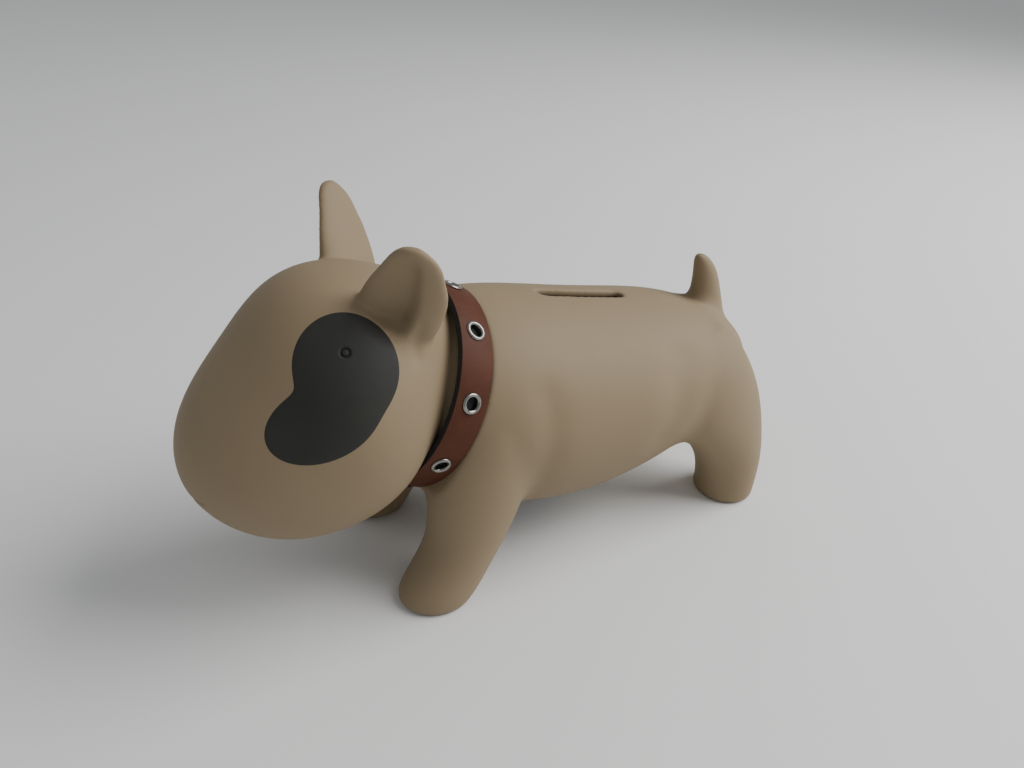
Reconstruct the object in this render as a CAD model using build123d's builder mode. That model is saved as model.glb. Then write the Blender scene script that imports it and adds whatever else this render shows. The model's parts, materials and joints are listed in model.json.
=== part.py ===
"""Dog-shaped coin bank: a hollow cast shell, a leather collar with eyelets, and a belly stopper.

Frame: millimetres, table at Z = 0, nose towards -Y, the dog's left side towards +X.
The origin is on the table, under the middle of the overall length.
"""
from build123d import *
import math
import os

os.makedirs("parts", exist_ok=True)

# ---- driving dimensions -------------------------------------------------------------
WALL = 4.0                 # casting thickness
SIDES = (1, -1)            # the dog's left, then its right
FOOT_ROUND = 2.5           # rounding of each foot's lower edge

SLOT_LENGTH = 45.0         # coin slot in the back, end to end
SLOT_WIDTH = 6.4
SLOT_Y = 39.4

HOLE_RADIUS = 16.0         # emptying hole in the belly
HOLE_Y = 14.0
BOSS_RADIUS = 24.0         # thick ring of shell round the emptying hole
BOSS_TOP = 27.0
SEAT_RADIUS = 20.5         # flat recess that the stopper's flange sits in
SEAT_Z = 20.0

NECK_Y, NECK_Z = -39.5, 82.1   # middle of the collar
NECK_TILT = 24.7               # the neck rises towards the head, degrees
COLLAR_WIDTH = 14.0
COLLAR_RADIUS = 41.8           # outside of the leather
LEATHER = 1.8
LINING = 0.9
COLLAR_GAP = 0.35              # play between the collar and the groove it turns in

EYELETS = 8
EYELET_PITCH = 38.2            # degrees between eyelets
EYELET_FIRST = -78.4           # the first one, from straight up towards the dog's left
EYELET_FLANGE = 4.1            # outer radius of the rolled flange
EYELET_HEIGHT = 0.8
EYELET_BORE = 2.35
EYELET_BARREL = 2.85
EYELET_HOLE = 2.9              # hole in the leather and the lining
EYELET_EDGE = 0.35             # rounding of the flange's outer and inner edges
WASHER_RADIUS = 4.0
WASHER_THICKNESS = 0.3
WASHER_POCKET = 0.35

# Angles round the neck, from straight up towards the dog's left. The strap starts low on the
# dog's right, runs once round, rises over its own start and laps it, and a stud joins the two.
STRAP_START = -134.5
RAMP_START = 212.0
RAMP_END = 224.0
RAMP_STEPS = 6
TAIL_END = 258.0
TAIL_RISE = 1.9                # how far the lapping tail stands off the strap's own run
TAIL_ROUND = 5.0
STUD_ANGLE = -118.0
STUD_CAP = 4.6                 # radius of the domed cap
STUD_DOME = 1.5
STUD_EDGE = 1.3                # rounding of the cap's rim
STUD_POST = 1.6
STUD_PLAY = 0.05
STUD_FOOT = 3.4                # wide foot of the post, sunk in the lining
FOOT_THICKNESS = 0.4
FOOT_DEPTH = 0.55              # how far the foot's underside lies inside the leather

STOPPER_PLAY = 0.08            # radial clearance of the stopper's neck in the hole
STOPPER_WALL = 3.0             # thickness of the stopper's tubular neck
STOPPER_LIP = 3.5              # how far the neck stands into the bank past the boss
STOPPER_TAPER = 1.2            # lead-in at the top of the neck
FLANGE_THICKNESS = 2.2
FLANGE_MARGIN = 0.6            # ring left free round the flange in its seat
FLANGE_BEVEL = 1.2
GRIP_RADIUS = 9.0              # two crescent dimples with a finger bar between them
GRIP_BAR = 3.0
GRIP_DEPTH = 1.2

RING_POINTS = 24               # points of a section that isn't an ellipse

# ---- forms --------------------------------------------------------------------------
# A barrel form is a row of ellipses along an axis that lies in the mid-plane:
# (distance along the axis, rise off the axis, half width, half height).
# The skull is flatter and squarer above its widest line than an ellipse is.
CROWN_HEIGHT = 0.89            # share of the half height
CROWN_SQUARENESS = 2.8         # exponent of its arch, where an ellipse has 2
HEAD_START = (-128.4, 55.1)
HEAD_TILT = 29.9
HEAD = [
    (0.2, -0.2, 3.4, 3.4),
    (1.4, -0.6, 9.5, 9.7),
    (5.9, -1.3, 19.1, 19.4),
    (15.3, -2.3, 29.5, 29.8),
    (30.5, -3.1, 38.4, 38.5),
    (49.3, -1.8, 44.3, 43.7),
    (68.1, 2.1, 45.2, 44.5),
    (86.9, 4.3, 38.8, 39.1),
    (102.2, 3.0, 28.3, 29.2),
    (112.8, 1.3, 16.2, 16.8),
    (116.9, 0.4, 5.8, 6.0),
]
TORSO_START = (-64.5, 76.0)
TORSO_TILT = -3.2
TORSO = [
    (0.3, 0.3, 4.7, 4.9),
    (3.9, 1.1, 17.0, 17.8),
    (19.7, 0.8, 35.2, 36.2),
    (43.4, -2.6, 45.5, 45.2),
    (69.0, -6.6, 48.4, 47.6),
    (98.6, -9.8, 47.8, 46.3),
    (128.2, -8.8, 45.8, 41.2),
    (153.8, -6.2, 41.2, 34.4),
    (173.6, -4.4, 34.0, 26.2),
    (187.4, -3.0, 24.0, 17.8),
    (194.3, -1.8, 14.2, 10.4),
    (196.8, -0.8, 5.4, 4.0),
]
# A standing form is a row of level ellipses: (x, y, z, half length, half breadth, turn in degrees).
FRONT_LEG = [
    (33.7, -46.8, 0.0, 14.6, 14.8, 0),
    (33.5, -38.6, 14.0, 15.2, 16.2, 0),
    (31.8, -30.6, 28.0, 15.9, 17.4, 0),
    (30.3, -26.2, 42.0, 17.2, 20.8, 0),
    (28.2, -23.2, 56.0, 19.2, 23.2, 0),
    (25.6, -20.6, 70.0, 20.9, 23.6, 0),
    (22.0, -18.6, 84.0, 21.0, 20.6, 0),
    (15.0, -16.6, 96.0, 13.0, 13.0, 0),
]
REAR_LEG = [
    (34.5, 113.0, 0.0, 14.6, 14.6, 0),
    (34.4, 113.0, 14.0, 15.2, 15.2, 0),
    (33.6, 110.2, 27.0, 15.9, 18.3, 0),
    (32.2, 104.6, 39.0, 16.6, 23.0, 0),
    (30.0, 98.6, 51.0, 17.0, 27.4, 0),
    (27.0, 94.6, 63.0, 17.0, 28.0, 0),
    (22.5, 92.4, 75.0, 15.4, 25.0, 0),
    (16.5, 91.0, 86.0, 10.5, 17.0, 0),
]
EAR = [
    (16.0, -59.5, 107.0, 9.0, 6.5, 50),
    (18.3, -58.2, 112.5, 13.2, 8.2, 50),
    (20.8, -57.1, 118.0, 15.8, 8.8, 50),
    (24.0, -56.1, 125.5, 16.5, 7.6, 50),
    (27.6, -55.6, 132.0, 15.8, 5.7, 50),
    (30.3, -55.5, 137.5, 14.4, 4.5, 50),
    (32.6, -55.6, 142.0, 12.6, 3.8, 50),
    (34.8, -55.6, 146.0, 10.8, 3.4, 50),
    (36.7, -56.2, 150.0, 8.4, 3.0, 50),
    (37.8, -56.9, 153.2, 5.4, 2.4, 50),
    (37.9, -57.1, 154.9, 2.0, 1.1, 50),
]
TAIL = [
    (0.0, 111.0, 74.0, 10.0, 17.0, 0),
    (0.0, 112.5, 84.0, 8.0, 12.0, 0),
    (0.0, 113.0, 92.0, 6.4, 8.8, 0),
    (0.0, 112.0, 99.0, 5.6, 7.2, 0),
    (0.0, 110.3, 105.0, 4.9, 5.9, 0),
    (0.0, 108.0, 110.0, 3.8, 4.3, 0),
    (0.0, 106.5, 112.6, 2.4, 2.6, 0),
    (0.0, 105.9, 113.5, 0.9, 0.9, 0),
]


def axis_plane(start, tilt, along, rise):
    """Plane across a barrel form's axis, its local X along the row's X."""
    slope = math.radians(tilt)
    y = start[0] + along * math.cos(slope) - rise * math.sin(slope)
    z = start[1] + along * math.sin(slope) + rise * math.cos(slope)
    return Plane(origin=(0, y, z), x_dir=(1, 0, 0), z_dir=(0, math.cos(slope), math.sin(slope)))


def torso_section(half_width, half_height):
    """Plain ellipse in the current sketch."""
    Ellipse(half_width, half_height)


def head_section(half_width, half_height):
    """Half an ellipse with a low squarish arch on top, in the current sketch."""
    points = []
    for step in range(RING_POINTS):
        turn = 2 * math.pi * step / RING_POINTS
        across, up = math.cos(turn), math.sin(turn)
        if up > 0:
            across = math.copysign(abs(across) ** (2 / CROWN_SQUARENESS), across)
            up = CROWN_HEIGHT * up ** (2 / CROWN_SQUARENESS)
        points.append((half_width * across, half_height * up))
    with BuildLine() as ring:
        Spline(*points, periodic=True)
    make_face(ring.edges())


def barrel_form(start, tilt, stations, section, inset=0.0):
    """Solid through a row of sections, each one smaller by inset."""
    with BuildPart() as form:
        for along, rise, half_width, half_height in stations:
            if half_width > inset * 2:
                with BuildSketch(axis_plane(start, tilt, along, rise)):
                    section(half_width - inset, half_height - inset)
        loft()
    return form.part


def standing_form(stations, side=1, foot_round=0.0):
    """Solid through a row of level ellipses, mirrored for the dog's right side."""
    with BuildPart() as form:
        for x, y, z, half_length, half_breadth, turn in stations:
            with BuildSketch(Plane(origin=(x * side, y, z))):
                Ellipse(half_length, half_breadth, rotation=turn * side)
        loft()
        if foot_round:
            fillet(form.edges().group_by(Axis.Z)[0], foot_round)
    return form.part


NECK_SLOPE = math.radians(NECK_TILT)
NECK_AXIS = (0, -math.cos(NECK_SLOPE), math.sin(NECK_SLOPE))
# Local Z runs up the neck towards the head, local X towards the dog's left.
NECK = Plane(origin=(0, NECK_Y, NECK_Z), x_dir=(1, 0, 0), z_dir=NECK_AXIS)
NECK_LINE = Axis((0, NECK_Y, NECK_Z), NECK_AXIS)
# Section plane of the collar: local X straight out from the neck's axis, local Y up the neck.
NECK_SECTION = Plane(origin=(0, NECK_Y, NECK_Z), x_dir=(1, 0, 0), z_dir=NECK.y_dir * -1)


LEATHER_INSIDE = COLLAR_RADIUS - LEATHER
LINING_INSIDE = LEATHER_INSIDE - LINING
GROOVE_RADIUS = LINING_INSIDE - COLLAR_GAP
GROOVE_WIDTH = COLLAR_WIDTH + 2 * COLLAR_GAP
FAR = 60.0                     # clear of the neck on every side
PAST = 1.0                     # how far a cut runs past the piece that it opens
SINK_PLAY = 0.1                # radial play of a washer or a stud's foot in its recess


def round_neck(radius, angle):
    """Point in the collar's plane at this radius and angle."""
    turn = math.radians(angle)
    return (radius * math.sin(turn), radius * math.cos(turn))


def spot_on_neck(radius, angle):
    """Plane that faces straight out from the neck, its local X up the neck."""
    x, y = round_neck(radius, angle)
    outward = NECK.x_dir * math.sin(math.radians(angle)) + NECK.y_dir * math.cos(math.radians(angle))
    return Plane(origin=NECK.from_local_coords((x, y, 0)), x_dir=NECK.z_dir, z_dir=outward)


def neck_arc(radius, start, end):
    """Arc round the neck in the current collar sketch."""
    ThreePointArc(
        round_neck(radius, start), round_neck(radius, (start + end) / 2), round_neck(radius, end)
    )


def ramp(radius):
    """S-shaped rise of the strap from its own run to the lapping tail."""
    points = []
    for step in range(RAMP_STEPS + 1):
        share = step / RAMP_STEPS
        rise = TAIL_RISE * share * share * (3 - 2 * share)
        points.append(round_neck(radius + rise, RAMP_START + (RAMP_END - RAMP_START) * share))
    Spline(*points)


def neck_ring(outside, inside, width):
    """Plain ring round the neck."""
    with BuildPart() as ring:
        with BuildSketch(NECK.offset(-width / 2)):
            Circle(outside)
            Circle(inside, mode=Mode.SUBTRACT)
        extrude(amount=width)
    return ring.part


eyelet_angles = [EYELET_FIRST + EYELET_PITCH * index for index in range(EYELETS)]
limb_forms = [
    standing_form(stations, side, rounding)
    for stations, rounding in ((FRONT_LEG, FOOT_ROUND), (REAR_LEG, FOOT_ROUND), (EAR, 0.0))
    for side in SIDES
]

# ---- hollow inside of the bank --------------------------------------------------------
with BuildPart() as cavity:
    add(barrel_form(TORSO_START, TORSO_TILT, TORSO, torso_section, WALL))
    add(barrel_form(HEAD_START, HEAD_TILT, HEAD, head_section, WALL))
    # the wall under the collar's groove
    add(neck_ring(FAR, GROOVE_RADIUS - WALL, GROOVE_WIDTH + 2 * WALL), mode=Mode.SUBTRACT)
    # the thick ring round the emptying hole
    with BuildSketch(Plane.XY):
        with Locations((0, HOLE_Y)):
            Circle(BOSS_RADIUS)
    extrude(amount=BOSS_TOP, mode=Mode.SUBTRACT)

# ---- shell ------------------------------------------------------------------------------
with BuildPart() as body_shell:
    add(barrel_form(TORSO_START, TORSO_TILT, TORSO, torso_section))
    add(barrel_form(HEAD_START, HEAD_TILT, HEAD, head_section))
    add(standing_form(TAIL))
    for form in limb_forms:
        add(form)
    add(cavity.part, mode=Mode.SUBTRACT)
    add(neck_ring(FAR, GROOVE_RADIUS, GROOVE_WIDTH), mode=Mode.SUBTRACT)
    # coin slot, straight down through the back
    with BuildSketch(Plane.XY.offset(BOSS_TOP + FAR)):
        with Locations((0, SLOT_Y)):
            SlotOverall(SLOT_LENGTH, SLOT_WIDTH, rotation=90)
    extrude(amount=FAR, mode=Mode.SUBTRACT)
    # emptying hole and the flat seat for the stopper's flange
    with BuildSketch(Plane.XY):
        with Locations((0, HOLE_Y)):
            Circle(HOLE_RADIUS)
    extrude(amount=BOSS_TOP + WALL, mode=Mode.SUBTRACT)
    with BuildSketch(Plane.XY):
        with Locations((0, HOLE_Y)):
            Circle(SEAT_RADIUS)
    extrude(amount=SEAT_Z, mode=Mode.SUBTRACT)

# ---- belly stopper ------------------------------------------------------------------------
stopper_neck = HOLE_RADIUS - STOPPER_PLAY
stopper_top = BOSS_TOP + STOPPER_LIP
stopper_seat = SEAT_Z - STOPPER_PLAY
flange_bottom = stopper_seat - FLANGE_THICKNESS
flange_radius = SEAT_RADIUS - FLANGE_MARGIN
with BuildPart() as belly_stopper:
    with BuildSketch(Plane((0, HOLE_Y, 0), x_dir=(1, 0, 0), z_dir=(0, -1, 0))):
        with BuildLine():
            Polyline(
                (0, stopper_seat),
                (stopper_neck - STOPPER_WALL, stopper_seat),
                (stopper_neck - STOPPER_WALL, stopper_top),
                (stopper_neck - STOPPER_TAPER, stopper_top),
                (stopper_neck, BOSS_TOP + FLANGE_MARGIN),
                (stopper_neck, stopper_seat),
                (flange_radius, stopper_seat),
                (flange_radius, flange_bottom + FLANGE_BEVEL / 2),
                (flange_radius - FLANGE_BEVEL, flange_bottom),
                (0, flange_bottom),
                close=True,
            )
        make_face()
    revolve(axis=Axis((0, HOLE_Y, 0), (0, 0, 1)))
    # finger grip: a bar left standing between two crescent dimples
    with BuildSketch(Plane.XY.offset(flange_bottom)):
        with Locations((0, HOLE_Y)):
            Circle(GRIP_RADIUS)
            Rectangle(GRIP_BAR, GRIP_RADIUS * 2, mode=Mode.SUBTRACT)
    extrude(amount=GRIP_DEPTH, mode=Mode.SUBTRACT)

# ---- collar strap ---------------------------------------------------------------------------
tail_inside = LEATHER_INSIDE + TAIL_RISE
tail_outside = tail_inside + LEATHER
with BuildPart() as collar_strap:
    with BuildSketch(NECK.offset(-COLLAR_WIDTH / 2)):
        with BuildLine():
            neck_arc(LEATHER_INSIDE, STRAP_START, RAMP_START)
            ramp(LEATHER_INSIDE)
            neck_arc(tail_inside, RAMP_END, TAIL_END)
            Line(round_neck(tail_inside, TAIL_END), round_neck(tail_outside, TAIL_END))
            neck_arc(tail_outside, TAIL_END, RAMP_END)
            ramp(COLLAR_RADIUS)
            neck_arc(COLLAR_RADIUS, RAMP_START, STRAP_START)
            Line(round_neck(COLLAR_RADIUS, STRAP_START), round_neck(LEATHER_INSIDE, STRAP_START))
        make_face()
    extrude(amount=COLLAR_WIDTH)
    tip_direction = spot_on_neck(1.0, TAIL_END).z_dir
    fillet(collar_strap.edges().filter_by(Axis(NECK.origin, tip_direction)), TAIL_ROUND)
    for angle in eyelet_angles:
        with BuildSketch(spot_on_neck(LINING_INSIDE, angle)):
            Circle(EYELET_HOLE)
        extrude(amount=LINING + LEATHER + PAST, mode=Mode.SUBTRACT)
    with BuildSketch(spot_on_neck(LINING_INSIDE, STUD_ANGLE)):
        Circle(STUD_POST + STUD_PLAY)
    extrude(amount=LINING + TAIL_RISE + LEATHER + PAST, mode=Mode.SUBTRACT)

# ---- black lining between the strap and the neck ----------------------------------------------
with BuildPart() as collar_lining:
    add(neck_ring(LEATHER_INSIDE, LINING_INSIDE, COLLAR_WIDTH))
    for angle in eyelet_angles:
        with BuildSketch(spot_on_neck(LINING_INSIDE - PAST, angle)):
            Circle(EYELET_HOLE)
        extrude(amount=LINING + 2 * PAST, mode=Mode.SUBTRACT)
        with BuildSketch(spot_on_neck(LINING_INSIDE - PAST, angle)):
            Circle(WASHER_RADIUS + SINK_PLAY)
        extrude(amount=PAST + WASHER_POCKET, mode=Mode.SUBTRACT)
    with BuildSketch(spot_on_neck(LINING_INSIDE - PAST, STUD_ANGLE)):
        Circle(STUD_FOOT + SINK_PLAY)
    extrude(amount=LINING + 2 * PAST, mode=Mode.SUBTRACT)

# ---- eyelets and the washers they are set against ----------------------------------------------
eyelets = []
washers = []
for angle in eyelet_angles:
    with BuildPart() as eyelet:
        with BuildSketch(spot_on_neck(COLLAR_RADIUS, angle)):
            Circle(EYELET_FLANGE)
            Circle(EYELET_BORE, mode=Mode.SUBTRACT)
        extrude(amount=EYELET_HEIGHT)
        fillet(eyelet.edges().group_by(Axis(NECK.origin, spot_on_neck(1.0, angle).z_dir))[-1], EYELET_EDGE)
        with BuildSketch(spot_on_neck(LINING_INSIDE + WASHER_THICKNESS, angle)):
            Circle(EYELET_BARREL)
            Circle(EYELET_BORE, mode=Mode.SUBTRACT)
        extrude(amount=LINING + LEATHER - WASHER_THICKNESS)
    eyelets.append(eyelet.part)
    with BuildPart() as washer:
        with BuildSketch(spot_on_neck(LINING_INSIDE, angle)):
            Circle(WASHER_RADIUS)
            Circle(EYELET_BORE, mode=Mode.SUBTRACT)
        extrude(amount=WASHER_THICKNESS)
    washers.append(washer.part)

# ---- closing stud: a post with a wide foot under the strap's start, and a domed cap on the tail --
foot_plane = LEATHER_INSIDE - FOOT_DEPTH
with BuildPart() as stud_post:
    with BuildSketch(spot_on_neck(foot_plane, STUD_ANGLE)):
        Circle(STUD_FOOT)
    extrude(amount=FOOT_THICKNESS)
    with BuildSketch(spot_on_neck(foot_plane, STUD_ANGLE)):
        Circle(STUD_POST)
    extrude(amount=tail_outside - foot_plane)
with BuildPart() as stud_cap:
    with BuildSketch(spot_on_neck(tail_outside, STUD_ANGLE)):
        Circle(STUD_CAP)
    extrude(amount=STUD_DOME)
    cap_direction = spot_on_neck(1.0, STUD_ANGLE).z_dir
    fillet(stud_cap.edges().group_by(Axis(NECK.origin, cap_direction))[-1], STUD_EDGE)

# ---- export ---------------------------------------------------------------------------------------------
pieces = {
    "body_shell": body_shell.part,
    "belly_stopper": belly_stopper.part,
    "collar_strap": collar_strap.part,
    "collar_lining": collar_lining.part,
    "stud_post": stud_post.part,
    "stud_cap": stud_cap.part,
}
for index in range(EYELETS):
    pieces[f"eyelet_{index + 1}"] = eyelets[index]
    pieces[f"washer_{index + 1}"] = washers[index]
for name, piece in pieces.items():
    piece.label = name
    export_step(piece, f"parts/{name}.step")
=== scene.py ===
import json
import math

import bmesh
import bpy
import numpy as np
from mathutils import Matrix, Vector


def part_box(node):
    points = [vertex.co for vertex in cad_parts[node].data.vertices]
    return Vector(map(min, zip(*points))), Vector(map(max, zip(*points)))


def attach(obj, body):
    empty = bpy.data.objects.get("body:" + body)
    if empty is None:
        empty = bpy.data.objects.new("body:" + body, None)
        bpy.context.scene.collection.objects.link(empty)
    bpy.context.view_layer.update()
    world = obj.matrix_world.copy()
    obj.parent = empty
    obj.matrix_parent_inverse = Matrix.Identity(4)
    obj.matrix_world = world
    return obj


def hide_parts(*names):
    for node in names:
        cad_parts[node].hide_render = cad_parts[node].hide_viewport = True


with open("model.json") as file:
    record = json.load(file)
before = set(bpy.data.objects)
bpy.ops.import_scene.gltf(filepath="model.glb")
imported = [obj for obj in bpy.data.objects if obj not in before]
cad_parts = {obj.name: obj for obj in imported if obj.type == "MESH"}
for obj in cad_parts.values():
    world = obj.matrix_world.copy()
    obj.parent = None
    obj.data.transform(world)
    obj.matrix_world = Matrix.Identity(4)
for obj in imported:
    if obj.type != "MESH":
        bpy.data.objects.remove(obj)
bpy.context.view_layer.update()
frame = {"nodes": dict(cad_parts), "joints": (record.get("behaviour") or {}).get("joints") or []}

MM = 0.001

# The neck plane that the collar lies in, from the frame's own joint.
TURN = next(joint for joint in frame["joints"] if joint["name"] == "collar_turn")
NECK_MIDDLE = np.array(TURN["pos_m"])
NECK_AXIS = np.array(TURN["axis"])


def vec(*coordinates):
    """A point or direction in millimetres of the object's frame, as metres."""
    return np.array(coordinates, float) * MM


# ---------------------------------------------------------------- materials

def new_material(name):
    """An empty node material and its Principled shader."""
    material = bpy.data.materials.new(name)
    material.use_nodes = True
    return material, material.node_tree.nodes["Principled BSDF"]


def add_node(material, kind, **settings):
    """A shader node with its plain properties set."""
    node = material.node_tree.nodes.new(kind)
    for key, value in settings.items():
        setattr(node, key, value)
    return node


def link(material, out_socket, in_socket):
    """Joins two shader sockets."""
    material.node_tree.links.new(out_socket, in_socket)


def noise(material, scale, detail=4.0, roughness=0.5):
    """A noise texture that is fixed to the object's own coordinates."""
    place = add_node(material, "ShaderNodeTexCoord")
    texture = add_node(material, "ShaderNodeTexNoise")
    texture.inputs["Scale"].default_value = scale
    texture.inputs["Detail"].default_value = detail
    texture.inputs["Roughness"].default_value = roughness
    link(material, place.outputs["Object"], texture.inputs["Vector"])
    return texture.outputs["Fac"]


def ramp(material, source, *stops):
    """A colour ramp over source, from (position, (r, g, b)) stops."""
    node = add_node(material, "ShaderNodeValToRGB")
    elements = node.color_ramp.elements
    while len(elements) < len(stops):
        elements.new(0.5)
    for element, (position, colour) in zip(elements, stops):
        element.position = position
        element.color = (*colour, 1.0)
    link(material, source, node.inputs["Fac"])
    return node.outputs["Color"]


def bump(material, shader, source, strength, distance):
    """Fine relief on a shader, added after any that it already has."""
    node = add_node(material, "ShaderNodeBump")
    node.inputs["Strength"].default_value = strength
    node.inputs["Distance"].default_value = distance
    link(material, source, node.inputs["Height"])
    if shader.inputs["Normal"].links:
        link(material, shader.inputs["Normal"].links[0].from_socket, node.inputs["Normal"])
    link(material, node.outputs["Normal"], shader.inputs["Normal"])


def clay_material():
    """Matt taupe ceramic with a soft-touch coat."""
    material, shader = new_material("taupe_ceramic")
    dark, light = (0.243, 0.182, 0.109), (0.262, 0.198, 0.12)
    tone = ramp(material, noise(material, 18, 3), (0.3, dark), (0.7, light))
    link(material, tone, shader.inputs["Base Color"])
    shader.inputs["Roughness"].default_value = 0.62
    shader.inputs["Specular IOR Level"].default_value = 0.25
    bump(material, shader, noise(material, 1400, 3), 0.12, 0.0002)
    return material


def patch_material():
    """Charcoal glaze of the eye patch."""
    material, shader = new_material("charcoal_glaze")
    dark, light = (0.023, 0.0225, 0.0198), (0.03, 0.0294, 0.0256)
    tone = ramp(material, noise(material, 30, 3), (0.3, dark), (0.7, light))
    link(material, tone, shader.inputs["Base Color"])
    shader.inputs["Roughness"].default_value = 0.6
    shader.inputs["Specular IOR Level"].default_value = 0.25
    bump(material, shader, noise(material, 1400, 3), 0.12, 0.0002)
    return material


def leather_material():
    """Saddle-brown strap leather with a fine grain."""
    material, shader = new_material("saddle_leather")
    dark, light = (0.062, 0.0195, 0.0095), (0.088, 0.028, 0.0135)
    tone = ramp(material, noise(material, 60, 6, 0.6), (0.3, dark), (0.7, light))
    link(material, tone, shader.inputs["Base Color"])
    shader.inputs["Roughness"].default_value = 0.55
    shader.inputs["Specular IOR Level"].default_value = 0.15
    bump(material, shader, noise(material, 900, 6, 0.7), 0.25, 0.0003)
    return material


def lining_and_bore_shade_material():
    """Black fabric lining; the same black is the painted shade in the eyelet bores."""
    material, shader = new_material("black_lining_and_bore_shade")
    dark, light = (0.008, 0.008, 0.009), (0.02, 0.02, 0.022)
    tone = ramp(material, noise(material, 800, 3), (0.3, dark), (0.7, light))
    link(material, tone, shader.inputs["Base Color"])
    shader.inputs["Roughness"].default_value = 0.85
    bump(material, shader, noise(material, 1500, 3), 0.4, 0.0003)
    return material


def nickel_material():
    """Bright nickel plate with slight smears."""
    material, shader = new_material("nickel_plate")
    shader.inputs["Base Color"].default_value = (0.26, 0.25, 0.23, 1.0)
    shader.inputs["Metallic"].default_value = 1.0
    rough = ramp(material, noise(material, 300, 4), (0.3, (0.18, 0.18, 0.18)), (0.7, (0.3, 0.3, 0.3)))
    link(material, rough, shader.inputs["Roughness"])
    return material


def rubber_material():
    """Soft black rubber of the stopper."""
    material, shader = new_material("stopper_rubber")
    dark, light = (0.015, 0.015, 0.015), (0.025, 0.025, 0.025)
    tone = ramp(material, noise(material, 200, 3), (0.3, dark), (0.7, light))
    link(material, tone, shader.inputs["Base Color"])
    shader.inputs["Roughness"].default_value = 0.7
    bump(material, shader, noise(material, 900, 3), 0.2, 0.0002)
    return material


def plain_material(name, colour):
    """The floor's paper."""
    material, shader = new_material(name)
    tone = ramp(material, noise(material, 3, 2), (0.3, colour), (0.7, tuple(c * 0.985 for c in colour)))
    link(material, tone, shader.inputs["Base Color"])
    shader.inputs["Roughness"].default_value = 0.7
    return material


CLAY = clay_material()
PATCH = patch_material()
LEATHER = leather_material()
LINING_AND_BORE_SHADE = lining_and_bore_shade_material()
NICKEL = nickel_material()
RUBBER = rubber_material()


# ---------------------------------------------------------------- the shell

VOXEL = 0.8 * MM
HOLE = sum(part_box("belly_stopper"), Vector()) / 2      # middle of the belly stopper
HOLE_ZONE = 27 * MM                                    # radius of the flat ring round it
HOLE_TOP = 34 * MM
GROOVE_SIDE = 7.35 * MM                                # half the width of the collar's groove
GROOVE_FLOOR = 38.75 * MM
# Where the ears, haunches and rump run into the body: (x, y, z, reach).
ROOTS = ((31, -45, 113, 15), (40, 82, 38, 22), (20, 106, 86, 16), (22, 123, 57, 24))
FILL_STEP = 0.9                # share of each hollow's depth that one round fills
FILL_ROUNDS = 130
ROOT_ROUNDS = 240
NORMALS_LAST = 10              # rounds between two readings of the normals
EAR_BASE, EAR_CLEAR = 119 * MM, 126 * MM               # between these the filling fades out
# The coin slot: half its width, the middle of its length, half its length, and a height under it.
SLOT_X, SLOT_Y, SLOT_HALF, SLOT_FLOOR = 3.2 * MM, 39.4 * MM, 22.5 * MM, 95 * MM
RIM_ROUNDS = 3
SLOT_ROUNDS = 10
SKIN_ROUNDS = 4
SOLE = 0.25 * MM               # what lies lower than this is pressed flat


def smoothstep(low, high, field):
    """0 below low, 1 above high, and an even curve between."""
    share = np.clip((field - low) / (high - low), 0, 1)
    return share * share * (3 - 2 * share)


def mesh_array(items, name, width, kind=float):
    """One property of a mesh's vertices or edges as an array."""
    values = np.empty(len(items) * width, kind)
    items.foreach_get(name, values)
    return values.reshape(-1, width)


def set_points(mesh, points):
    """Moves a mesh's vertices."""
    mesh.vertices.foreach_set("co", points.ravel())
    mesh.update()


class Averager:
    """The mean of each vertex's neighbours, for the vertices in near."""

    def __init__(self, mesh, near):
        ends = mesh_array(mesh.edges, "vertices", 2, np.int32)
        ends = ends[near[ends].any(axis=1)]
        self.count = len(mesh.vertices)
        self.source = np.concatenate([ends[:, 0], ends[:, 1]])
        self.target = np.concatenate([ends[:, 1], ends[:, 0]])
        self.degree = np.maximum(np.bincount(self.target, minlength=self.count), 1)

    def mean(self, points):
        """The mean of a point field round each vertex."""
        sums = [np.bincount(self.target, points[self.source, axis], self.count) for axis in range(3)]
        return np.stack(sums, 1) / self.degree[:, None]


def new_object(name, mesh):
    """A mesh as an object in the scene."""
    piece = bpy.data.objects.new(name, mesh)
    bpy.context.scene.collection.objects.link(piece)
    return piece


def voxel_mesh(node, voxel):
    """An even mesh of a CAD node."""
    copy = new_object("remesh_source", node.data.copy())
    modifier = copy.modifiers.new("remesh", "REMESH")
    modifier.mode = "VOXEL"
    modifier.voxel_size = voxel
    evaluated = copy.evaluated_get(bpy.context.evaluated_depsgraph_get())
    mesh = bpy.data.meshes.new_from_object(evaluated)
    bpy.data.objects.remove(copy)
    return mesh


def neck_place(points):
    """Each point's distance along the neck's axis from the collar's middle, and from that axis."""
    offset = points - NECK_MIDDLE
    along = offset @ NECK_AXIS
    return along, np.linalg.norm(offset - along[:, None] * NECK_AXIS, axis=1)


def open_skin(points):
    """1 on the skin that may fill up: not in the groove, nor round the hole, nor on the ears."""
    along, radius = neck_place(points)
    in_groove = (abs(along) < GROOVE_SIDE + 1.5 * MM) & (radius < GROOVE_FLOOR + 14 * MM)
    from_hole = np.hypot(points[:, 0] - HOLE.x, points[:, 1] - HOLE.y)
    at_hole = (from_hole < HOLE_ZONE) & (points[:, 2] < HOLE_TOP)
    on_ear = smoothstep(EAR_BASE, EAR_CLEAR, points[:, 2]) * (points[:, 1] < 0)
    return np.where(in_groove | at_hole, 0, 1 - on_ear)


def left_half(points):
    """Each point or its mirror image, whichever is on the dog's left."""
    return np.stack([abs(points[:, 0]), points[:, 1], points[:, 2]], 1)


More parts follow.
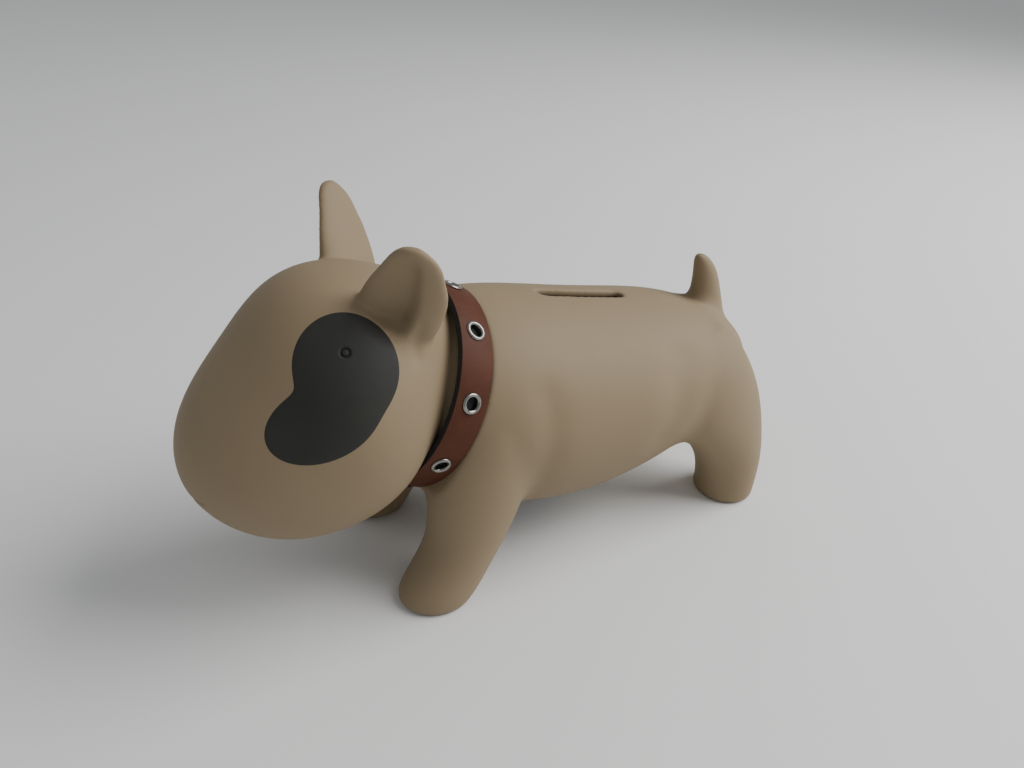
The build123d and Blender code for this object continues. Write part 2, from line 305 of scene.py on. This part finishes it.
def root_weight(points):
    """1 where an ear, a haunch or the rump runs into the body."""
    weight = np.zeros(len(points))
    for x, y, z, reach in ROOTS:
        distance = np.linalg.norm(left_half(points) - vec(x, y, z), axis=1)
        weight = np.maximum(weight, 1 - smoothstep(0.5 * reach * MM, reach * MM, distance))
    return weight


def fill_creases(mesh, average, free, rounds):
    """Fillets the joins of the limbs: hollows fill up, and nothing else moves."""
    points = mesh_array(mesh.vertices, "co", 3)
    for step in range(rounds):
        if step % NORMALS_LAST == 0:
            set_points(mesh, points)
            normals = mesh_array(mesh.vertex_normals, "vector", 3)
        lift = ((average.mean(points) - points) * normals).sum(1)
        points = points + (np.maximum(lift, 0) * free * FILL_STEP)[:, None] * normals
    set_points(mesh, points)


def relax(mesh, average, weight, rounds):
    """Evens a mesh out where weight is above 0."""
    points = mesh_array(mesh.vertices, "co", 3)
    for _ in range(rounds):
        points = points + (average.mean(points) - points) * (0.5 * weight)[:, None]
    set_points(mesh, points)


def rim_weight(points):
    """1 at the two rims of the collar's groove, fading within a few millimetres."""
    along, radius = neck_place(points)
    head_rim = 1 - smoothstep(2.5 * MM, 4.5 * MM, abs(along - GROOVE_SIDE))
    body_rim = 1 - smoothstep(1.2 * MM, 2.4 * MM, abs(along + GROOVE_SIDE))
    return np.maximum(head_rim, body_rim) * smoothstep(0, 2 * MM, radius - GROOVE_FLOOR - 2 * MM)


def slot_weight(points):
    """1 at the coin slot's rim."""
    past_end = np.maximum(abs(points[:, 1] - SLOT_Y) - SLOT_HALF + SLOT_X, 0)
    reach = np.hypot(points[:, 0], past_end)
    return (1 - smoothstep(1.6 * MM, 2.6 * MM, abs(reach - SLOT_X))) * (points[:, 2] > SLOT_FLOOR)


# The left ear, a turned ellipse at each height: (height, x, y, half length, half thickness).
EAR_TURN = math.radians(50)    # of the long axis, from the row's X towards the tail
EAR = np.array([
    (112.5, 18.3, -58.2, 15.2, 8.8), (118.0, 20.8, -57.1, 15.8, 8.8), (125.5, 24.0, -56.1, 16.5, 7.6),
    (132.0, 27.6, -55.6, 15.8, 5.7), (137.5, 30.3, -55.5, 14.4, 4.5), (142.0, 32.6, -55.6, 12.6, 3.8),
    (146.0, 34.8, -55.6, 10.8, 3.4), (150.0, 36.7, -56.2, 8.4, 3.0), (153.2, 37.8, -56.9, 5.4, 2.4),
]) * MM
CUP_MIDDLE = 0.1               # deepest line of the hollow, as a share of the half length
CUP_FRONT = 1.05               # how far the hollow reaches before that line, and behind it
CUP_REAR = 0.42
CUP_DEPTH = 0.85               # share of the half thickness


def cup_ears(mesh):
    """Hollows the front of each ear, with a firm ridge between the middle and the rear edge."""
    points = mesh_array(mesh.vertices, "co", 3)
    height = points[:, 2]
    middle_x, middle_y, spread, thickness = (
        np.interp(height, EAR[:, 0], column) for column in EAR[:, 1:].T
    )
    for side in (1, -1):
        offset_x = points[:, 0] * side - middle_x
        offset_y = points[:, 1] - middle_y
        across = (offset_x * math.cos(EAR_TURN) + offset_y * math.sin(EAR_TURN)) / spread
        ahead = (offset_x * math.sin(EAR_TURN) - offset_y * math.cos(EAR_TURN)) / thickness
        reach = (across - CUP_MIDDLE) / np.where(across < CUP_MIDDLE, -CUP_FRONT, CUP_REAR)
        rise = smoothstep(116 * MM, 127 * MM, height) * (1 - smoothstep(146 * MM, 153 * MM, height))
        face = smoothstep(-0.3, 0.3, ahead) * (1 - smoothstep(1.3, 1.9, ahead))
        depth = CUP_DEPTH * thickness * (1 - smoothstep(0, 1, reach)) * rise * face
        points[:, 0] -= depth * math.sin(EAR_TURN) * side
        points[:, 1] += depth * math.cos(EAR_TURN)
    set_points(mesh, points)


# Soft hollows on the left, mirrored on the right: (depth, half width, the points of its line).
HOLLOWS = (
    (1.0, 7.0, ((39, -6, 40), (47, -4.5, 57), (48, -3, 69), (46.6, -2.6, 78), (43, -3.5, 87))),
    (1.3, 9.0, ((45.7, 58, 53), (45.7, 62.5, 61), (44, 64.5, 70), (41, 66, 78), (37, 70, 84))),
    (0.9, 2.6, ((36.5, -52.5, 124), (33, -53, 117), (32.5, -54, 112))),
)


def line_distance(points, line):
    """How far each point is from a broken line."""
    best = np.full(len(points), 1.0)
    for start, end in zip(line[:-1], line[1:]):
        span = end - start
        share = np.clip((points - start) @ span / (span @ span), 0, 1)
        best = np.minimum(best, np.linalg.norm(points - start - share[:, None] * span, axis=1))
    return best


def press_hollows(mesh):
    """The hollows behind the shoulders, before the haunches and under the ears."""
    points = mesh_array(mesh.vertices, "co", 3)
    normals = mesh_array(mesh.vertex_normals, "vector", 3)
    outward = normals[:, 0] * np.sign(points[:, 0]) > 0.1
    depth = np.zeros(len(points))
    for deep, width, places in HOLLOWS:
        reach = line_distance(left_half(points), np.array(places) * MM)
        depth = np.maximum(depth, deep * MM * np.exp(-(reach / (width * MM)) ** 2))
    set_points(mesh, points - (depth * outward)[:, None] * normals)


EYE = vec(32.9, -78.6, 119.8)
EYE_RING = 1.45 * MM           # radius of the pressed ring's middle
EYE_GROOVE = 0.42 * MM         # half its width
EYE_DEPTH = 0.75 * MM
MOUTH = vec(0, -130.6, 58.6)   # middle of the mouth line
MOUTH_HALF = 14 * MM
MOUTH_LIFT = 2.6 * MM          # of its corners
MOUTH_GROOVE = 0.9 * MM
MOUTH_DEPTH = 0.8 * MM
MUZZLE_END = -115 * MM         # the muzzle lies before this
DETAIL_CUTS = 3                # how finely the mesh is split for these lines
HEAD_MIDDLE = vec(0, -85, 80)


def mouth_distance(points):
    """How far each point is from the mouth line, which runs round the muzzle."""
    share = points[:, 0] / MOUTH_HALF
    level = MOUTH[2] + MOUTH_LIFT * share ** 2
    past_end = np.maximum(abs(points[:, 0]) - MOUTH_HALF, 0)
    return np.where(points[:, 1] < MUZZLE_END, np.hypot(points[:, 2] - level, past_end), 1.0)


def refine(mesh, near, cuts):
    """Splits the faces that have a vertex in near."""
    work = bmesh.new()
    work.from_mesh(mesh)
    work.verts.ensure_lookup_table()
    chosen = {edge for index in np.flatnonzero(near) for edge in work.verts[index].link_edges}
    bmesh.ops.subdivide_edges(work, edges=list(chosen), cuts=cuts, use_grid_fill=True)
    work.to_mesh(mesh)
    work.free()


def press_details(mesh):
    """The ring of each eye and the mouth line, pressed into the clay."""
    points = mesh_array(mesh.vertices, "co", 3)
    eyes = [EYE * (1, 1, 1), EYE * (-1, 1, 1)]
    outside = points[:, 1] < 0
    near_eye = np.minimum(*[np.linalg.norm(points - eye, axis=1) for eye in eyes]) < 3.4 * MM
    near_mouth = mouth_distance(points) < 2.6 * MM
    refine(mesh, (near_eye | near_mouth) & outside, DETAIL_CUTS)
    points = mesh_array(mesh.vertices, "co", 3)
    normals = mesh_array(mesh.vertex_normals, "vector", 3)
    depth = MOUTH_DEPTH * np.exp(-(mouth_distance(points) / MOUTH_GROOVE) ** 2)
    for eye in eyes:
        ring = abs(np.linalg.norm(points - eye, axis=1) - EYE_RING)
        depth += EYE_DEPTH * np.exp(-(ring / EYE_GROOVE) ** 2)
    faces_out = ((points - HEAD_MIDDLE) * normals).sum(1) > 0
    set_points(mesh, points - (depth * faces_out)[:, None] * normals)


def shell_piece():
    """The ceramic dog as one even mesh."""
    mesh = voxel_mesh(frame["nodes"]["body_shell"], VOXEL)
    everywhere = np.ones(len(mesh.vertices))
    average = Averager(mesh, everywhere > 0)
    points = mesh_array(mesh.vertices, "co", 3)
    free = open_skin(points)
    fill_creases(mesh, average, free, FILL_ROUNDS)
    roots = root_weight(points)
    fill_creases(mesh, Averager(mesh, roots > 0), free * roots, ROOT_ROUNDS)
    points = mesh_array(mesh.vertices, "co", 3)
    relax(mesh, average, rim_weight(points), RIM_ROUNDS)
    relax(mesh, average, slot_weight(points), SLOT_ROUNDS)
    press_hollows(mesh)
    cup_ears(mesh)
    relax(mesh, average, everywhere, SKIN_ROUNDS)
    press_details(mesh)
    points = mesh_array(mesh.vertices, "co", 3)
    points[:, 2] = np.where(points[:, 2] < SOLE, 0, points[:, 2])
    set_points(mesh, points)
    mesh.materials.clear()
    mesh.materials.append(CLAY)
    mesh.shade_smooth()
    piece = new_object("dog_shell", mesh)
    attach(piece, "shell")
    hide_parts("body_shell")
    return piece


# The painted patch on the left of the face: two ellipses that run into each other,
# in a plane that faces out of the cheek.
PATCH_MIDDLE = vec(34, -80, 115)
PATCH_OUT = np.array([0.808, -0.303, 0.505])
PATCH_ACROSS = np.array([0.351, 0.936, 0.0])
PATCH_UP = np.cross(PATCH_OUT, PATCH_ACROSS)
PATCH_LOBES = (((1.0, 0.0), (18.7, 17.3), -74), ((-7.8, -18.2), (19.3, 12.8), 18))
PATCH_BLEND = 1.7              # width over which the lobes run together
PATCH_THICKNESS = 0.12 * MM
PATCH_LIFT = 0.01 * MM         # of its turned-down rim
PATCH_RIM = 0.5                # width of that rim, in millimetres of the field
PATCH_REACH = 25 * MM          # how far behind its middle the patch may wrap


def patch_field(points):
    """Above 0 inside the patch's outline, in millimetres."""
    offset = (points - PATCH_MIDDLE) / MM
    across, up = offset @ PATCH_ACROSS, offset @ PATCH_UP
    terms = []
    for (middle_across, middle_up), (long, short), turn in PATCH_LOBES:
        angle = math.radians(turn)
        a, b = across - middle_across, up - middle_up
        along = a * math.cos(angle) + b * math.sin(angle)
        aside = b * math.cos(angle) - a * math.sin(angle)
        terms.append((1 - np.hypot(along / long, aside / short)) * min(long, short))
    return PATCH_BLEND * np.logaddexp(terms[0] / PATCH_BLEND, terms[1] / PATCH_BLEND)


def patch_piece(shell):
    """The patch as a thin coat over the shell, cut along its outline."""
    mesh = shell.data
    points = mesh_array(mesh.vertices, "co", 3)
    normals = mesh_array(mesh.vertex_normals, "vector", 3)
    field = patch_field(points)
    facing = (normals @ PATCH_OUT > 0.1) & ((points - PATCH_MIDDLE) @ PATCH_OUT > -PATCH_REACH)
    field = np.where(facing, field, -abs(field))
    corners, places = [], {}

    def corner(start, end):
        """The patch's corner over a vertex of the shell, or where an edge crosses the outline."""
        if (start, end) not in places:
            places[start, end] = len(corners)
            if start == end:
                lift = PATCH_LIFT + PATCH_THICKNESS * smoothstep(0, PATCH_RIM, field[start])
                corners.append(points[start] + normals[start] * lift)
            else:
                share = field[start] / (field[start] - field[end])
                crossing = points[start] + (points[end] - points[start]) * share
                corners.append(crossing + normals[start] * PATCH_LIFT)
        return places[start, end]

    faces = []
    for polygon in mesh.polygons:
        ring = list(polygon.vertices)
        inside = [field[index] > 0 for index in ring]
        if not any(inside) or not all(facing[index] for index in ring):
            continue
        face = []
        for here, there in zip(ring, ring[1:] + ring[:1]):
            if field[here] > 0:
                face.append(corner(here, here))
            if (field[here] > 0) != (field[there] > 0):
                face.append(corner(min(here, there), max(here, there)))
        if len(face) > 2:
            faces.append(face)
    skin = bpy.data.meshes.new("eye_patch")
    skin.from_pydata([tuple(place) for place in corners], [], faces)
    skin.materials.append(PATCH)
    skin.shade_smooth()
    piece = new_object("eye_patch", skin)
    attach(piece, "shell")
    return piece


# ---------------------------------------------------------------- the collar

COLLAR_RADIUS = 41.8 * MM
STRAP_EDGE = 0.45 * MM         # rounding of the strap's edges
EYELET_SIDES = 64
# The rolled eyelet: (radius, height over the leather), from the bore to the flange's outer edge.
EYELET_PROFILE = (
    (2.36, -1.9), (2.36, -0.4), (2.42, 0.15), (2.62, 0.5), (2.95, 0.72), (3.3, 0.78),
    (3.65, 0.68), (3.92, 0.46), (4.07, 0.2), (4.1, 0.02), (3.7, -0.05),
)
BORE_SHADE_PROFILE = ((0.0, -1.75), (2.9, -1.75))         # a black disc in each eyelet's bore: painted shade in the hole


def cad_copy(node_name, name):
    """A CAD node's mesh with its split edges joined."""
    mesh = frame["nodes"][node_name].data.copy()
    mesh.name = name
    work = bmesh.new()
    work.from_mesh(mesh)
    bmesh.ops.remove_doubles(work, verts=work.verts, dist=0.002 * MM)
    bmesh.ops.dissolve_limit(work, angle_limit=math.radians(0.4), verts=work.verts, edges=work.edges)
    work.to_mesh(mesh)
    work.free()
    return mesh


def strap_piece():
    """The leather strap with softened edges, its cut sides black."""
    mesh = cad_copy("collar_strap", "leather_strap")
    mesh.materials.clear()
    mesh.materials.append(LEATHER)
    mesh.materials.append(LINING_AND_BORE_SHADE)
    for polygon in mesh.polygons:
        polygon.material_index = int(abs(polygon.normal @ Vector(NECK_AXIS)) > 0.9)
    mesh.shade_smooth()
    strap = new_object("leather_strap", mesh)
    bevel = strap.modifiers.new("edges", "BEVEL")
    bevel.width = STRAP_EDGE
    bevel.segments = 3
    bevel.limit_method = "ANGLE"
    bevel.angle_limit = math.radians(40)
    bevel.harden_normals = True
    bevel.material = 1
    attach(strap, "collar")
    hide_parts("collar_strap")


def lathed(name, profile, node_name, look):
    """A profile turned about the line from the neck's axis through an eyelet."""
    points = mesh_array(frame["nodes"][node_name].data.vertices, "co", 3).mean(0)
    points = np.array(frame["nodes"][node_name].matrix_world @ Vector(points))
    offset = points - NECK_MIDDLE
    outward = offset - (offset @ NECK_AXIS) * NECK_AXIS
    outward /= np.linalg.norm(outward)
    foot = NECK_MIDDLE + outward * COLLAR_RADIUS
    sideways = np.cross(outward, NECK_AXIS)
    corners, faces = [], []
    for radius, height in profile:
        for step in range(EYELET_SIDES):
            angle = 2 * math.pi * step / EYELET_SIDES
            around = NECK_AXIS * math.cos(angle) + sideways * math.sin(angle)
            corners.append(tuple(foot + outward * height * MM + around * radius * MM))
    for row in range(len(profile) - 1):
        for step in range(EYELET_SIDES):
            near, far = row * EYELET_SIDES, (row + 1) * EYELET_SIDES
            after = (step + 1) % EYELET_SIDES
            faces.append((near + step, near + after, far + after, far + step))
    mesh = bpy.data.meshes.new(name)
    mesh.from_pydata(corners, [], faces)
    mesh.materials.append(look)
    mesh.shade_smooth()
    piece = new_object(name, mesh)
    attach(piece, "collar")
    return piece


def eyelet_pieces():
    """A rolled nickel ring for each eyelet, and a black disc in its bore as painted shade."""
    for name in filter(lambda node_name: node_name.startswith("eyelet_"), frame["nodes"]):
        number = name.split("_")[1]
        ring = lathed("rolled_eyelet_" + number, EYELET_PROFILE, name, NICKEL)
        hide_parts(name)
        # painted shade: a black disc deep in the bore darkens the hole
        bore_shade = lathed("eyelet_bore_shade_" + number, BORE_SHADE_PROFILE, name, LINING_AND_BORE_SHADE)


shell = shell_piece()
patch_piece(shell)
strap_piece()
eyelet_pieces()

for name, node in frame["nodes"].items():
    if name.startswith(("eyelet", "washer", "stud")):
        look = NICKEL
    elif name == "collar_strap":
        look = LEATHER
    elif name == "collar_lining":
        look = LINING_AND_BORE_SHADE
    elif name == "belly_stopper":
        look = RUBBER
    else:
        look = CLAY
    for index in range(max(len(node.data.materials), 1)):
        if index < len(node.data.materials):
            node.data.materials[index] = look
        else:
            node.data.materials.append(look)


# ---------------------------------------------------------------- stage

FLOOR_HALF = 9.0                       # metres, as are the window's place, target and size
FLOOR_COLOUR = (0.78, 0.78, 0.77)
SKY_COLOUR = (0.96, 0.98, 1.0, 1.0)
SKY_STRENGTH = 0.42
WINDOW_PLACE = (0.5, 1.15, 1.15)
WINDOW_TARGET = (0, 0, 0.08)
WINDOW_SIZE = 1.3
WINDOW_POWER = 36
CAMERA_PLACE = vec(265.0, -158.6, 250.0)
CAMERA_PITCH = math.radians(30.1)
CAMERA_ROLL = math.radians(3.05)
CAMERA_HEADING = math.radians(32.0)    # from straight across the dog towards its tail
CAMERA_LENS = 29.18
SENSOR_WIDTH = 36.0


def floor_piece():
    """A wide pale sheet of paper."""
    mesh = bpy.data.meshes.new("floor")
    corners = [(x * FLOOR_HALF, y * FLOOR_HALF, 0) for x, y in ((-1, -1), (1, -1), (1, 1), (-1, 1))]
    mesh.from_pydata(corners, [], [(0, 1, 2, 3)])
    mesh.materials.append(plain_material("floor_paper", FLOOR_COLOUR))
    new_object("floor", mesh)


def window_light(place, target, size, power):
    """A soft square lamp that faces target."""
    data = bpy.data.lights.new("window", "AREA")
    data.shape = "SQUARE"
    data.size = size
    data.energy = power
    lamp = bpy.data.objects.new("window", data)
    lamp.location = place
    aim = Vector(target) - Vector(place)
    lamp.rotation_mode = "QUATERNION"
    lamp.rotation_quaternion = aim.to_track_quat("-Z", "Y")
    bpy.context.scene.collection.objects.link(lamp)


def sky(strength):
    """Even pale light from all round."""
    world = bpy.data.worlds.new("studio")
    world.use_nodes = True
    background = world.node_tree.nodes["Background"]
    background.inputs["Color"].default_value = SKY_COLOUR
    background.inputs["Strength"].default_value = strength
    bpy.context.scene.world = world


def photo_camera():
    """The camera at the photograph's viewing angle."""
    data = bpy.data.cameras.new("camera")
    data.sensor_width = SENSOR_WIDTH
    data.lens = CAMERA_LENS
    camera = bpy.data.objects.new("camera", data)
    heading = Vector((-math.cos(CAMERA_HEADING), math.sin(CAMERA_HEADING), 0))
    across = Vector((math.sin(CAMERA_HEADING), math.cos(CAMERA_HEADING), 0))
    forward = heading * math.cos(CAMERA_PITCH) - Vector((0, 0, math.sin(CAMERA_PITCH)))
    upward = across.cross(forward)
    right = across * math.cos(CAMERA_ROLL) + upward * math.sin(CAMERA_ROLL)
    upward = upward * math.cos(CAMERA_ROLL) - across * math.sin(CAMERA_ROLL)
    turn = Matrix((right, upward, -forward)).transposed()
    camera.matrix_world = Matrix.Translation(Vector(CAMERA_PLACE)) @ turn.to_4x4()
    bpy.context.scene.collection.objects.link(camera)
    bpy.context.scene.camera = camera


floor_piece()
sky(SKY_STRENGTH)
window_light(WINDOW_PLACE, WINDOW_TARGET, WINDOW_SIZE, WINDOW_POWER)
photo_camera()
